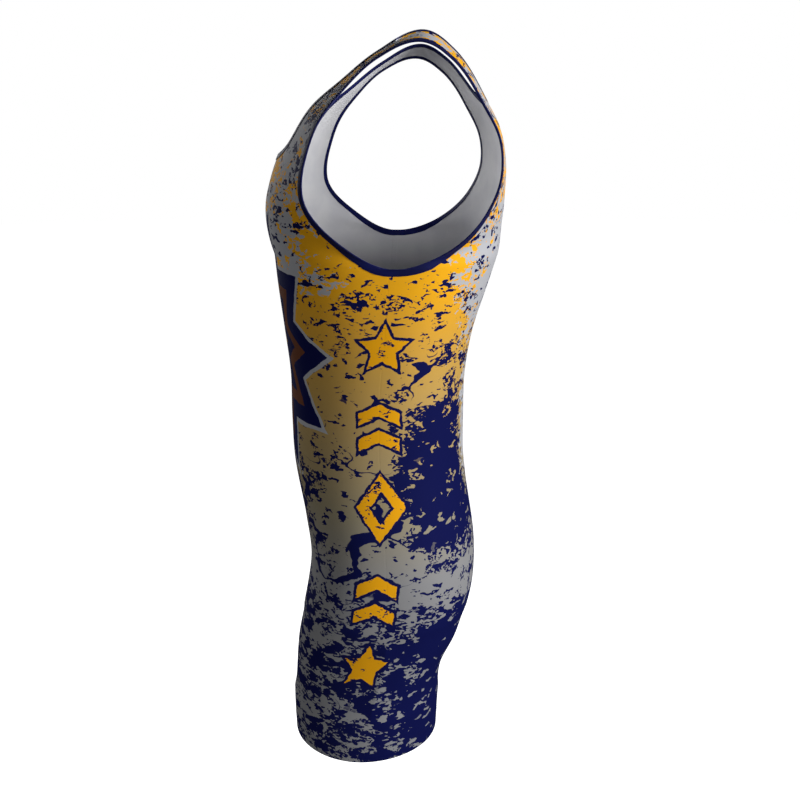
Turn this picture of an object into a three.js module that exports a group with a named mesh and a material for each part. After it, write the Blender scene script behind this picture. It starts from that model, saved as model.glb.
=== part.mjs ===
import * as THREE from "three";
import { mergeVertices } from "three/addons/utils/BufferGeometryUtils.js";

// Sleeveless wrestling singlet with short legs, filled out as it is when worn, with no wearer.
// Millimetres, +Z up. The front faces -Y and the wearer's left is +X.
// The origin lies midway between the two straps, level with the top of the shoulders that hold it up.

const CLOTH = 1.5; // wall of the stretch knit
const SEAM_GAP = 0.3; // between two panels at a seam
// The band of tape that shows is 7.45 mm wide: its reach over the cloth, the gap and its own wall.
const BINDING_WIDTH = 5.8; // how far the folded tape reaches over the cloth, from the cloth's edge
const BINDING_CLOTH = 0.8; // wall of the tape
const BINDING_GAP = 0.85; // between the tape and the cloth that it wraps

const UNDERARM = { y: -24, z: -209 }; // where the side seam meets the armhole, seen from the side
const HIP_LINE = -496; // below this height the body form parts into two legs
const CROTCH = -628;
const HEM = -741.5;
const CENTRE_AT_UNDERARM = -268; // the row that ends at the underarm starts this low at the centre

const COLUMNS = 11; // steps from the centre line to a side seam
const NECK_COLUMNS = 5; // how many of them lie below the bottom of the neckline
const ROWS = { frontStrap: 9, backStrap: 5, aboveUnderarm: 20, torso: 11, pelvis: 8, leg: 6 };

// The body form below the arms: level sections of a superellipse. front, side and back are where
// the section crosses the centre front, the side seam and the centre back. half is half its width.
const TORSO = [
  { z: -209, front: -148, side: -24, back: 90, half: 164, square: 2.5 },
  { z: -240, front: -146, side: -26, back: 81, half: 162, square: 2.4 },
  { z: -290, front: -141, side: -30, back: 66, half: 154, square: 2.3 },
  { z: -340, front: -136, side: -34, back: 58, half: 146, square: 2.3 },
  { z: -390, front: -136, side: -35, back: 57, half: 142, square: 2.3 },
  { z: -440, front: -134, side: -33, back: 58, half: 146, square: 2.3 },
  { z: -500, front: -123, side: -29, back: 66, half: 160, square: 2.4 },
  { z: -540, front: -119, side: -27, back: 76, half: 168, square: 2.6 },
  { z: -575, front: -128, side: -26, back: 83, half: 172, square: 2.7 },
  { z: -628, front: -148, side: -26, back: 86, half: 173, square: 2.7 },
];

// The body form above the arms: sections turned about the line between the two underarms, from
// straight forward at 0 degrees, over the shoulders at about 98, to straight back at 180.
// reach is the section's radius at the centre and half its half width.
const SHOULDERS = [
  { turn: 0, reach: 124, half: 164, square: 2.5 },
  { turn: 20, reach: 141, half: 163, square: 2.35 },
  { turn: 30, reach: 147, half: 176, square: 2.2 },
  { turn: 40, reach: 154, half: 203, square: 2.05 },
  { turn: 50, reach: 161, half: 232, square: 2 },
  { turn: 62, reach: 175, half: 256, square: 2 },
  { turn: 75, reach: 187, half: 282, square: 2 },
  { turn: 87, reach: 207, half: 310, square: 2 },
  { turn: 98, reach: 228.5, half: 296, square: 2 },
  { turn: 107, reach: 215, half: 318, square: 2 },
  { turn: 120, reach: 186, half: 335, square: 2 },
  { turn: 131, reach: 169.5, half: 340, square: 2 },
  { turn: 141, reach: 153, half: 286, square: 2 },
  { turn: 152, reach: 136, half: 209, square: 2.1 },
  { turn: 166, reach: 121, half: 167, square: 2.35 },
  { turn: 180, reach: 114, half: 164, square: 2.5 },
];

// The left leg: level sections about a centre line at x = centre.
const LEG = [
  { z: -628, centre: 86, half: 86, front: -130, side: -30, back: 50, square: 2.1 },
  { z: -642, centre: 87, half: 85, front: -131.5, side: -34, back: 37, square: 2.1 },
  { z: -660, centre: 88.5, half: 84, front: -132.5, side: -39, back: 32.5, square: 2.1 },
  { z: -700, centre: 91, half: 81, front: -134, side: -48, back: 29, square: 2 },
  { z: -745, centre: 92, half: 78, front: -133, side: -57, back: 27, square: 1.95 },
];

// The left armhole as seen from the side, from the underarm up the front, over the shoulder and
// down the back: how far each point lies forward of the underarm and above it.
const ARMHOLE = [
  { forward: 0, up: 0 },
  { forward: 46, up: 22 },
  { forward: 80, up: 61 },
  { forward: 73, up: 112 },
  { forward: 46, up: 156 },
  { forward: 13.5, up: 186.5 },
  { forward: -30, up: 202 },
  { forward: -76, up: 166 },
  { forward: -101, up: 122 },
  { forward: -106, up: 87 },
  { forward: -92, up: 49 },
  { forward: -54, up: 14 },
];
const ARMHOLE_SHOULDER = 6; // the row of the table that lies on the shoulder
const ARMHOLE_CORNERS = { front: 3, back: 7 }; // the rows that lie beside the neckline's corners

// The neckline from the centre front, over the left shoulder, to the centre back.
const NECKLINE = [
  { x: 0, turn: 40 },
  { x: 48, turn: 42 },
  { x: 76, turn: 47.5 },
  { x: 88, turn: 56 },
  { x: 93, turn: 66 },
  { x: 96, turn: 81 },
  { x: 95, turn: 97 },
  { x: 80, turn: 106 },
  { x: 64, turn: 115 },
  { x: 38, turn: 120.5 },
  { x: 0, turn: 123 },
];
const NECKLINE_SHOULDER = 6;
const NECKLINE_CORNERS = { front: 2, back: 8 }; // where its sides turn into its bottom

const mix = THREE.MathUtils.lerp;
const point = (x, y, z) => new THREE.Vector3(x, y, z);
const mirrored = (p) => point(-p.x, p.y, p.z);

// The row of a table at any value of its first column, on a smooth curve through its rows.
function section(table, key, at) {
  const last = table.length - 1;
  const way = Math.sign(table[last][key] - table[0][key]);
  let i = 0;
  while (i < last - 1 && way * (at - table[i + 1][key]) > 0) i++;
  const [a, b] = [table[i], table[i + 1]];
  const [before, after] = [table[Math.max(i - 1, 0)], table[Math.min(i + 2, last)]];
  const step = b[key] - a[key];
  const t = THREE.MathUtils.clamp((at - a[key]) / step, 0, 1);
  const row = {};
  for (const column of Object.keys(a)) {
    const slopeA = (b[column] - before[column]) / (b[key] - before[key]);
    const slopeB = (after[column] - a[column]) / (after[key] - a[key]);
    row[column] =
      a[column] * (1 + 2 * t) * (1 - t) ** 2 +
      b[column] * t * t * (3 - 2 * t) +
      step * (slopeA * t * (1 - t) ** 2 + slopeB * t * t * (t - 1));
  }
  return row;
}

// The body form

// A place on the form has a level and a round. The level is 0 at the underarm. Above it the level is
// the turn from level with the underarms, in degrees; below it, the depth in steps of STEP mm. The
// round is the angle from the centre line, at 0, to the side, at a quarter turn.
const STEP = 2.2;
const levelOf = (z) => (z - UNDERARM.z) / STEP;

// A quarter of a superellipse: how far across and how far out it is, as shares of its half axes.
const across = (round, square) => Math.max(0, Math.sin(round)) ** (2 / square);
const out = (round, square) => Math.max(0, Math.cos(round)) ** (2 / square);

// A place above the underarm, given by its turn and its distance from the turning line.
function aboveArms(x, turn, reach) {
  const angle = THREE.MathUtils.degToRad(turn);
  return point(x, UNDERARM.y - reach * Math.cos(angle), UNDERARM.z + reach * Math.sin(angle));
}

// The place on the form in space. facing is -1 on the front and 1 on the back.
function onForm({ level, round }, facing) {
  if (level >= 0) {
    const turn = facing < 0 ? level : 180 - level;
    const s = section(SHOULDERS, "turn", turn);
    return aboveArms(s.half * across(round, s.square), turn, s.reach * out(round, s.square));
  }
  const z = UNDERARM.z + level * STEP;
  const s = section(TORSO, "z", z);
  const depth = facing < 0 ? s.front - s.side : s.back - s.side;
  return point(s.half * across(round, s.square), s.side + depth * out(round, s.square), z);
}

// The level and round of a place in space above the underarm, straight outwards from the middle.
function fromSpace(p, facing) {
  const [forward, up] = [UNDERARM.y - p.y, p.z - UNDERARM.z];
  if (up < 0.01) return { level: 0, round: Math.PI / 2 };
  const turn = THREE.MathUtils.radToDeg(Math.atan2(up, forward));
  const s = section(SHOULDERS, "turn", turn);
  const [x, reach] = [p.x / s.half, Math.hypot(forward, up) / s.reach];
  const round = Math.atan2(x ** (s.square / 2), reach ** (s.square / 2));
  return { level: facing < 0 ? turn : 180 - turn, round };
}

const mixPlace = (a, b, share) => ({
  level: mix(a.level, b.level, share),
  round: mix(a.round, b.round, share),
});

// The garment's edges

const CURVE_STEPS = 12; // places from one row of an edge table to the next

// A closed smooth curve through places in space.
const loop = (places) =>
  new THREE.CatmullRomCurve3(places, true).getPoints(places.length * CURVE_STEPS);

function armholeLoop() {
  const places = ARMHOLE.map(({ forward, up }) => {
    const turn = THREE.MathUtils.radToDeg(Math.atan2(up, forward));
    const s = section(SHOULDERS, "turn", turn);
    const reach = Math.hypot(forward, up);
    const x = s.half * Math.max(0, 1 - (reach / s.reach) ** s.square) ** (1 / s.square);
    return aboveArms(x, turn, reach);
  });
  return loop(places);
}

function necklineLoop() {
  const left = NECKLINE.map(({ x, turn }) => {
    const s = section(SHOULDERS, "turn", turn);
    return aboveArms(x, turn, s.reach * (1 - (x / s.half) ** s.square) ** (1 / s.square));
  });
  const right = left.slice(1, -1).reverse().map(mirrored);
  return loop([...left, ...right]);
}

const armhole = armholeLoop();
const neckline = necklineLoop();
const armholeTop = ARMHOLE_SHOULDER * CURVE_STEPS;
const armholeCorner = {
  front: ARMHOLE_CORNERS.front * CURVE_STEPS,
  back: ARMHOLE_CORNERS.back * CURVE_STEPS,
};
const necklineTop = NECKLINE_SHOULDER * CURVE_STEPS;
const necklineBack = (NECKLINE.length - 1) * CURVE_STEPS;
const necklineCorner = {
  front: NECKLINE_CORNERS.front * CURVE_STEPS,
  back: NECKLINE_CORNERS.back * CURVE_STEPS,
};

// The edges of a panel's left half. Beside the strap they run down from the shoulder; the bottom of
// the neckline runs from the centre outwards, and the rest of the armhole down to the underarm.
const EDGES = {
  front: {
    facing: -1,
    strapRows: ROWS.frontStrap,
    neckSide: neckline.slice(necklineCorner.front, necklineTop + 1).reverse(),
    neckBottom: neckline.slice(0, necklineCorner.front + 1),
    armSide: armhole.slice(armholeCorner.front, armholeTop + 1).reverse(),
    armBottom: armhole.slice(0, armholeCorner.front + 1).reverse(),
  },
  back: {
    facing: 1,
    strapRows: ROWS.backStrap,
    neckSide: neckline.slice(necklineTop, necklineCorner.back + 1),
    neckBottom: neckline.slice(necklineCorner.back, necklineBack + 1).reverse(),
    armSide: armhole.slice(armholeTop, armholeCorner.back + 1),
    armBottom: armhole.slice(armholeCorner.back),
  },
};

// count + 1 places of the form at equal distances along a line in space.
function spaced(line, count, facing) {
  const along = [0];
  for (let i = 1; i < line.length; i++) along.push(along[i - 1] + line[i].distanceTo(line[i - 1]));
  const places = [];
  let i = 0;
  for (let k = 0; k <= count; k++) {
    const target = (along.at(-1) * k) / count;
    while (i < line.length - 2 && along[i + 1] < target) i++;
    const share = (target - along[i]) / (along[i + 1] - along[i]);
    places.push(fromSpace(line[i].clone().lerp(line[i + 1], share), facing));
  }
  return places;
}

// The panels

const rowBetween = (inner, outer, columns) =>
  Array.from({ length: columns + 1 }, (_, i) => mixPlace(inner, outer, i / columns));

// One place on the left leg's level section, from the inseam (0) round to the side seam (1).
function legPlace(facing, share, z) {
  const s = section(LEG, "z", z);
  const angle = (1 - share) * Math.PI;
  const x = Math.sign(Math.cos(angle)) * Math.abs(Math.cos(angle)) ** (2 / s.square);
  const depth = facing < 0 ? s.front - s.side : s.back - s.side;
  return point(s.centre + s.half * x, s.side + depth * across(angle, s.square), z);
}

// The left half of a panel: rows from the shoulder to the hem, each from the inside outwards. The
// rows of the strap have no places in the columns below the neckline.
function halfPanel({ facing, strapRows, neckSide, neckBottom, armSide, armBottom }) {
  const neckPlaces = spaced(neckSide, strapRows, facing);
  const armPlaces = spaced(armSide, strapRows, facing);
  const upper = neckPlaces.map((place, k) => {
    const strap = rowBetween(place, armPlaces[k], COLUMNS - NECK_COLUMNS);
    return [...Array(NECK_COLUMNS).fill(null), ...strap];
  });
  const top = upper[strapRows];
  spaced(neckBottom, NECK_COLUMNS, facing).forEach((place, i) => (top[i] = place));

  const chestRows = ROWS.aboveUnderarm - strapRows;
  const endPlaces = spaced(armBottom, chestRows, facing);
  const bottom = rowBetween({ level: levelOf(CENTRE_AT_UNDERARM), round: 0 }, endPlaces.at(-1), COLUMNS);
  for (let k = 1; k <= chestRows; k++) {
    const row = top.map((place, i) => mixPlace(place, bottom[i], k / chestRows));
    const [end, wanted] = [row[COLUMNS], endPlaces[k]];
    const shifted = row.map(({ level, round }, i) => {
      const share = (i / COLUMNS) ** 2;
      const moved = { level: wanted.level - end.level, round: wanted.round - end.round };
      return { level: level + share * moved.level, round: round + share * moved.round };
    });
    upper.push(shifted);
  }
  for (let k = 1; k <= ROWS.torso; k++) {
    const share = k / ROWS.torso;
    const inner = { level: levelOf(mix(CENTRE_AT_UNDERARM, HIP_LINE, share)), round: 0 };
    const outer = { level: levelOf(mix(UNDERARM.z, HIP_LINE, share)), round: Math.PI / 2 };
    upper.push(rowBetween(inner, outer, COLUMNS));
  }
  const rows = upper.map((row) => row.map((place) => place && onForm(place, facing)));

  for (let k = 1; k <= ROWS.pelvis; k++) {
    const angle = ((k / ROWS.pelvis) * Math.PI) / 2;
    const parted = 1 - Math.cos(angle);
    const row = [];
    for (let i = 0; i <= COLUMNS; i++) {
      const share = i / COLUMNS;
      const sink = mix(Math.sin(angle), k / ROWS.pelvis, THREE.MathUtils.smoothstep(share, 0, 1));
      const z = mix(HIP_LINE, CROTCH, sink);
      const torso = onForm({ level: levelOf(z), round: (share * Math.PI) / 2 }, facing);
      row.push(torso.lerp(legPlace(facing, share, CROTCH).setZ(z), parted));
    }
    rows.push(row);
  }
  for (let k = 1; k <= ROWS.leg; k++) {
    const z = mix(CROTCH, HEM, k / ROWS.leg);
    rows.push(Array.from({ length: COLUMNS + 1 }, (_, i) => legPlace(facing, i / COLUMNS, z)));
  }
  return rows;
}

// Solids

// Triangles of a grid of places, as a flat list. turned swaps the side they face.
function gridFaces(rows, turned) {
  const list = [];
  for (let k = 0; k + 1 < rows.length; k++)
    for (let i = 0; i + 1 < rows[k].length; i++) {
      if (!rows[k][i]) continue;
      const [a, b, c, d] = [rows[k][i], rows[k][i + 1], rows[k + 1][i + 1], rows[k + 1][i]];
      const faces = a.distanceTo(c) < b.distanceTo(d) ? [a, b, c, a, c, d] : [a, b, d, b, c, d];
      list.push(...(turned ? faces : faces.reverse()));
    }
  return list;
}

// A surface through a flat list of triangles, with shared vertices and a normal at each.
function surface(corners) {
  const loose = new THREE.BufferGeometry().setFromPoints(corners);
  const joined = mergeVertices(loose, 1e-3);
  joined.computeVertexNormals();
  return joined;
}

const halves = { front: halfPanel(EDGES.front), back: halfPanel(EDGES.back) };

// Both halves of a panel as triangles that face outwards.
function panelFaces(side) {
  const { facing } = EDGES[side];
  const right = halves[side].map((row) => row.map((p) => p && mirrored(p)));
  return [...gridFaces(halves[side], facing > 0), ...gridFaces(right, facing < 0)];
}

// The whole garment's surface, and its outward normal at each place of the grid.
const wholeCorners = [...panelFaces("front"), ...panelFaces("back")];
const wholeFaces = wholeCorners.flatMap((p, i) => (i % 3 ? [] : [wholeCorners.slice(i, i + 3)]));
const whole = surface(wholeCorners);
const placeName = (p) => p.toArray().map((v) => (Math.round(v * 100) / 100 + 0).toFixed(2)).join(" ");
const normals = new Map();
for (let i = 0; i < whole.getAttribute("position").count; i++) {
  const p = point(0, 0, 0).fromBufferAttribute(whole.getAttribute("position"), i);
  normals.set(placeName(p), point(0, 0, 0).fromBufferAttribute(whole.getAttribute("normal"), i));
}

// The names of the places on a panel's sewn edges: the shoulder, the side and the inseam.
function sewnPlaces(side) {
  const rows = halves[side];
  const inseam = rows.slice(-1 - ROWS.leg).map((row) => row[0]);
  const shoulder = rows[0].filter(Boolean);
  const sideSeam = rows.slice(ROWS.aboveUnderarm).map((row) => row[COLUMNS]);
  const left = [...shoulder, ...sideSeam, ...inseam];
  return new Set([...left, ...left.map(mirrored)].map(placeName));
}

// A panel as one closed body: its surface given a thickness inwards, a seam gap off the other panel.
function panel(side) {
  const sheet = surface(panelFaces(side));
  const outer = sheet.getAttribute("position");
  const index = Array.from(sheet.index.array);
  const sewn = sewnPlaces(side);
  const places = [];
  for (let i = 0; i < outer.count; i++) {
    const p = point(0, 0, 0).fromBufferAttribute(outer, i);
    const moved = p.clone();
    if (sewn.has(placeName(p))) moved.y += (EDGES[side].facing * SEAM_GAP) / 2;
    places[i] = moved;
    places[outer.count + i] = moved.clone().addScaledVector(normals.get(placeName(p)), -CLOTH);
  }
  const count = outer.count;
  const faces = [];
  const directed = new Set();
  for (let f = 0; f < index.length; f += 3) {
    const [a, b, c] = index.slice(f, f + 3);
    faces.push(a, b, c, count + a, count + c, count + b);
    [[a, b], [b, c], [c, a]].forEach(([from, to]) => directed.add(`${from},${to}`));
  }
  for (const edge of directed) {
    const [from, to] = edge.split(",").map(Number);
    if (directed.has(`${to},${from}`)) continue;
    const [below, above] = [count + from, count + to];
    if (places[from].z > places[to].z) faces.push(to, from, below, to, below, above);
    else faces.push(to, from, above, from, below, above);
  }
  return new THREE.BufferGeometry().setFromPoints(places).setIndex(faces);
}

// Where a line through p along direction meets the garment's surface, nearest to p, and its normal.
function onCloth(p, direction) {
  const ray = new THREE.Ray(p.clone().addScaledVector(direction, 20), direction.clone().negate());
  let best = { place: p, normal: direction, away: 20 };
  for (const corners of wholeFaces) {
    const place = ray.intersectTriangle(...corners, false, point(0, 0, 0));
    if (!place || place.distanceTo(p) > best.away) continue;
    const shares = THREE.Triangle.getBarycoord(place, ...corners, point(0, 0, 0)).toArray();
    const normal = point(0, 0, 0);
    corners.forEach((corner, n) => normal.addScaledVector(normals.get(placeName(corner)), shares[n]));
    best = { place, normal, away: place.distanceTo(p) };
  }
  return best;
}

const halfway = (a, b) => a.clone().lerp(b, 0.5);

// Tape folded over a closed edge of the cloth: a channel that wraps the raw edge. The cloth lies on
// the right hand as the edge is followed.
function binding(edge) {
  const low = -CLOTH - BINDING_GAP;
  const out = BINDING_GAP + BINDING_CLOTH;
  const corners = edge.map((p) => ({ p, normal: normals.get(placeName(p)) }));
  const stations = corners.flatMap((from, k) => {
    const to = corners[(k + 1) % corners.length];
    return [from, { p: halfway(from.p, to.p), normal: halfway(from.normal, to.normal) }];
  });
  const rings = stations.map(({ p, normal }, k) => {
    const ahead = stations[(k + 1) % stations.length].p.clone().sub(stations.at(k - 1).p);
    const inwards = ahead.cross(normal).normalize();
    const rim = (depth, height) =>
      p.clone().addScaledVector(inwards, depth).addScaledVector(normal, height);
    const reach = onCloth(rim(BINDING_WIDTH, 0), normal);
    const leg = (height) => reach.place.clone().addScaledVector(reach.normal, height);
    return [
      leg(BINDING_GAP),
      rim(-BINDING_GAP, BINDING_GAP),
      rim(-BINDING_GAP, low),
      leg(low),
      leg(low - BINDING_CLOTH),
      rim(-out, low - BINDING_CLOTH),
      rim(-out, out),
      leg(out),
    ];
  });
  const faces = [];
  rings.forEach((ring, k) => {
    const next = rings[(k + 1) % rings.length];
    ring.forEach((a, i) => {
      const [b, c, d] = [ring[(i + 1) % ring.length], next[(i + 1) % ring.length], next[i]];
      faces.push(...(a.distanceTo(c) < b.distanceTo(d) ? [a, b, c, a, c, d] : [a, b, d, b, c, d]));
    });
  });
  return surface(faces);
}

// The edges of both panels' cloth, as closed lines without doubled places.
const armEdge = [
  ...halves.front.slice(0, ROWS.aboveUnderarm + 1).map((row) => row[COLUMNS]),
  ...halves.back.slice(1, ROWS.aboveUnderarm).map((row) => row[COLUMNS]).reverse(),
];
const neckDown = (side) => [
  ...halves[side].slice(0, EDGES[side].strapRows).map((row) => row[NECK_COLUMNS]),
  ...halves[side][EDGES[side].strapRows].slice(0, NECK_COLUMNS + 1).reverse(),
];
const leftNeckEdge = [...neckDown("front").reverse(), ...neckDown("back").slice(1)];
const neckEdge = [...leftNeckEdge, ...leftNeckEdge.slice(1, -1).reverse().map(mirrored)];

const printedCloth = new THREE.MeshStandardMaterial({ color: 0x9a8450, roughness: 0.62, metalness: 0 });
const navyTape = new THREE.MeshStandardMaterial({ color: 0x10184f, roughness: 0.7, metalness: 0 });

function named(name, geometry, material) {
  const mesh = new THREE.Mesh(geometry, material);
  mesh.name = name;
  return mesh;
}

const singlet = new THREE.Group();
singlet.add(named("front_panel", panel("front"), printedCloth));
singlet.add(named("back_panel", panel("back"), printedCloth));
singlet.add(named("neck_binding", binding(neckEdge), navyTape));
singlet.add(named("armhole_binding_left", binding(armEdge), navyTape));
singlet.add(named("armhole_binding_right", binding(armEdge.map(mirrored).reverse()), navyTape));

export default singlet;
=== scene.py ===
# %% [markdown]
# # A wrestling singlet, filled out as it is when worn
# A singlet is a one-piece suit of thin stretch knit with a deep neck, large armholes and short legs.
# This one has a distressed all-over print outside, plain white cloth inside, and a navy tape
# folded over the neckline and both armholes. It is upright and filled out, with nobody in it. The
# CAD model is loaded first, as a fixed frame, and every piece is then made on its form.

# %% The frame
import math

import bmesh
import bpy
from mathutils import Matrix, Vector
from mathutils.bvhtree import BVHTree
from mathutils.kdtree import KDTree


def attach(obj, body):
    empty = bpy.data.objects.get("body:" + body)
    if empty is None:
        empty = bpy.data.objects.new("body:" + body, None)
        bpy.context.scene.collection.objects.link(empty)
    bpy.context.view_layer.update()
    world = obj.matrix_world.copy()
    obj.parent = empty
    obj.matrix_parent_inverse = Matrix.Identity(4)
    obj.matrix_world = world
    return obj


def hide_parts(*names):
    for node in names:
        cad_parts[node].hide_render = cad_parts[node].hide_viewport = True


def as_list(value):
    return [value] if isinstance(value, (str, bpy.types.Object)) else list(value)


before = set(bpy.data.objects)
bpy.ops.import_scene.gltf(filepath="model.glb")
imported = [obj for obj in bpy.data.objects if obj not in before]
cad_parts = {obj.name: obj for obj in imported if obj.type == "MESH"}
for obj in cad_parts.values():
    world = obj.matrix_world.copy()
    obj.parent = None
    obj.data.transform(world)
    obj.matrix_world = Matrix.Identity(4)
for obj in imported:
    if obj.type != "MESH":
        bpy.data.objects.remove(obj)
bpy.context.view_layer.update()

# %% [markdown]
# The camera stands on the wearer's left, a little above the middle of the garment, and looks
# slightly down. Its place was worked out from the near and far armholes, which are the same shape.
# A camera's own axes look along -Z with +Y up, so it is first stood up and then turned to the left.

# %% Camera
CAMERA_PLACE = (1.060, -0.0094, -0.072)
LENS_ANGLE, LOOKS_DOWN, TURNED_LEFT = 45, 16.388, 90.2846  # degrees


def in_scene(name, data):
    """A new object that shows this camera, light or mesh."""
    thing = bpy.data.objects.new(name, data)
    bpy.context.scene.collection.objects.link(thing)
    return thing


lens = bpy.data.cameras.new("photo_camera")
lens.angle = math.radians(LENS_ANGLE)
camera = in_scene("photo_camera", lens)
camera.location = CAMERA_PLACE
camera.rotation_euler = (math.radians(90 - LOOKS_DOWN), 0, math.radians(TURNED_LEFT))
bpy.context.scene.camera = camera
print("camera", CAMERA_PLACE, "looks down by", LOOKS_DOWN, "degrees")

# %% [markdown]
# ## The form of the body
# The cloth is stretched smooth over a body, so its shape is the body's. Below the arms that shape is
# a stack of level sections. Above them the sections are turned about the line between the two
# underarms, from straight forward, over the shoulders, to straight back, like the pages of a book.
# Each section is a superellipse: an ellipse whose corners can be filled out. Sizes are in
# millimetres, as a pattern maker writes them, and are made metres when a vertex is placed.

# %% Tables of the form
MM = 0.001
UNDERARM_Y, UNDERARM_Z = -24, -209
HIP_LINE, CROTCH, HEM = -496, -628, -741.5
CENTRE_AT_UNDERARM = -268

# z, front, side, back, half width, squareness
TORSO = [
    (-209, -148, -24, 90, 164, 2.5),
    (-240, -146, -26, 81, 162, 2.4),
    (-290, -141, -30, 66, 154, 2.3),
    (-340, -136, -34, 58, 146, 2.3),
    (-390, -136, -35, 57, 142, 2.3),
    (-440, -134, -33, 58, 146, 2.3),
    (-500, -123, -29, 66, 160, 2.4),
    (-540, -119, -27, 76, 168, 2.6),
    (-575, -128, -26, 83, 172, 2.7),
    (-628, -148, -26, 86, 173, 2.7),
]
# turn in degrees, reach from the turning line, half width, squareness
SHOULDERS = [
    (0, 124, 164, 2.5), (20, 141, 163, 2.35), (30, 147, 176, 2.2), (40, 154, 203, 2.05),
    (50, 161, 232, 2), (62, 175, 256, 2), (75, 187, 282, 2), (87, 207, 310, 2),
    (98, 228.5, 296, 2), (107, 215, 318, 2), (120, 186, 335, 2), (131, 169.5, 340, 2),
    (141, 153, 286, 2), (152, 136, 209, 2.1), (166, 121, 167, 2.35), (180, 114, 164, 2.5),
]
# z, centre, half width, front, side, back, squareness
LEG = [
    (-628, 86, 86, -130, -30, 50, 2.1),
    (-642, 87, 85, -131.5, -34, 37, 2.1),
    (-660, 88.5, 84, -132.5, -39, 32.5, 2.1),
    (-700, 91, 81, -134, -48, 29, 2),
    (-745, 92, 78, -133, -57, 27, 1.95),
]


# %% Reading the tables
def row_at(table, at):
    """A table's row at any value of its first column, on a smooth curve through its rows."""
    last = len(table) - 1
    way = 1 if table[-1][0] > table[0][0] else -1
    i = 0
    while i < last - 1 and way * (at - table[i + 1][0]) > 0:
        i += 1
    a, b = table[i], table[i + 1]
    before, after = table[max(i - 1, 0)], table[min(i + 2, last)]
    step = b[0] - a[0]
    t = min(max((at - a[0]) / step, 0), 1)
    row = []
    for column in range(1, len(a)):
        slope_a = (b[column] - before[column]) / (b[0] - before[0])
        slope_b = (after[column] - a[column]) / (after[0] - a[0])
        row.append(
            a[column] * (1 + 2 * t) * (1 - t) ** 2
            + b[column] * t * t * (3 - 2 * t)
            + step * (slope_a * t * (1 - t) ** 2 + slope_b * t * t * (t - 1))
        )
    return row


def above_arms(x, turn, reach):
    angle = math.radians(turn)
    return Vector((x, UNDERARM_Y - reach * math.cos(angle), UNDERARM_Z + reach * math.sin(angle)))


def power(value, square):
    return max(0.0, value) ** (2 / square)


# %% [markdown]
# A place on the form has a level and a round. The level is 0 at the underarm: above it is the turn
# in degrees, and below it the depth in steps of 2.2 mm. The round is the angle from the centre line
# to the side, a quarter turn. The front and the back each have their own, so that a panel can be
# laid out as rows and columns and then bent onto the body.

# %% Places on the form
FRONT, BACK = -1, 1
STEP = 2.2


def level_of(z):
    return (z - UNDERARM_Z) / STEP


def on_form(place, facing):
    level, turned = place
    if level >= 0:
        turn = level if facing == FRONT else 180 - level
        reach, half, square = row_at(SHOULDERS, turn)
        x, out = half * power(math.sin(turned), square), reach * power(math.cos(turned), square)
        return above_arms(x, turn, out)
    z = UNDERARM_Z + level * STEP
    front, side, back, half, square = row_at(TORSO, z)
    depth = (front if facing == FRONT else back) - side
    return Vector(
        (half * power(math.sin(turned), square), side + depth * power(math.cos(turned), square), z)
    )


def from_space(p, facing):
    forward, up = UNDERARM_Y - p.y, max(p.z - UNDERARM_Z, 0)
    if math.hypot(forward, up) < 0.01:
        return (0.0, math.pi / 2)
    turn = math.degrees(math.atan2(up, forward))
    reach, half, square = row_at(SHOULDERS, turn)
    across, out = max(0, p.x / half), math.hypot(forward, up) / reach
    turned = math.atan2(across ** (square / 2), out ** (square / 2))
    return (turn if facing == FRONT else 180 - turn, turned)


def leg_place(facing, share, z):
    """On the left leg's level section, from the inseam (0) round to the side seam (1)."""
    centre, half, front, side, back, square = row_at(LEG, z)
    angle = (1 - share) * math.pi
    x = math.copysign(abs(math.cos(angle)) ** (2 / square), math.cos(angle))
    depth = (front if facing == FRONT else back) - side
    return Vector((centre + half * x, side + depth * power(math.sin(angle), square), z))


# %% [markdown]
# ## The edges of the cut
# The armhole and the neckline are smooth closed lines through a few points that lie on the form.
# A Catmull-Rom spline goes through every point it is given, which a pattern maker's curve has to.

# %% Edge tables and the smooth line through them
# forward of the underarm, above it
ARMHOLE = [
    (0, 0), (46, 22), (80, 61), (73, 112), (46, 156), (13.5, 186.5),
    (-30, 202), (-76, 166), (-101, 122), (-106, 87), (-92, 49), (-54, 14),
]
ARMHOLE_SHOULDER, ARMHOLE_FRONT, ARMHOLE_BACK = 6, 3, 7  # which of its points they are
# out from the centre, turn
NECKLINE = [
    (0, 40), (48, 42), (76, 47.5), (88, 56), (93, 66), (96, 81),
    (95, 97), (80, 106), (64, 115), (38, 120.5), (0, 123),
]
NECKLINE_SHOULDER, NECKLINE_FRONT, NECKLINE_BACK = 6, 2, 8
CURVE_STEPS = 24


def mirrored(p):
    return Vector((-p.x, p.y, p.z))


def smooth_loop(points):
    """A closed centripetal Catmull-Rom line, with CURVE_STEPS places from point to point."""
    count, line = len(points), []
    for i in range(count):
        p0, p1, p2, p3 = (points[(i + k) % count] for k in (-1, 0, 1, 2))
        d0, d1, d2 = (math.sqrt((b - a).length) for a, b in ((p0, p1), (p1, p2), (p2, p3)))
        start = ((p1 - p0) / d0 - (p2 - p0) / (d0 + d1) + (p2 - p1) / d1) * d1
        end = ((p2 - p1) / d1 - (p3 - p1) / (d1 + d2) + (p3 - p2) / d2) * d1
        for k in range(CURVE_STEPS):
            t = k / CURVE_STEPS
            bend = (p2 - p1) * 3 - start * 2 - end
            swing = (p1 - p2) * 2 + start + end
            line.append(p1 + start * t + bend * t * t + swing * t ** 3)
    return line + [line[0]]


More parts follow.
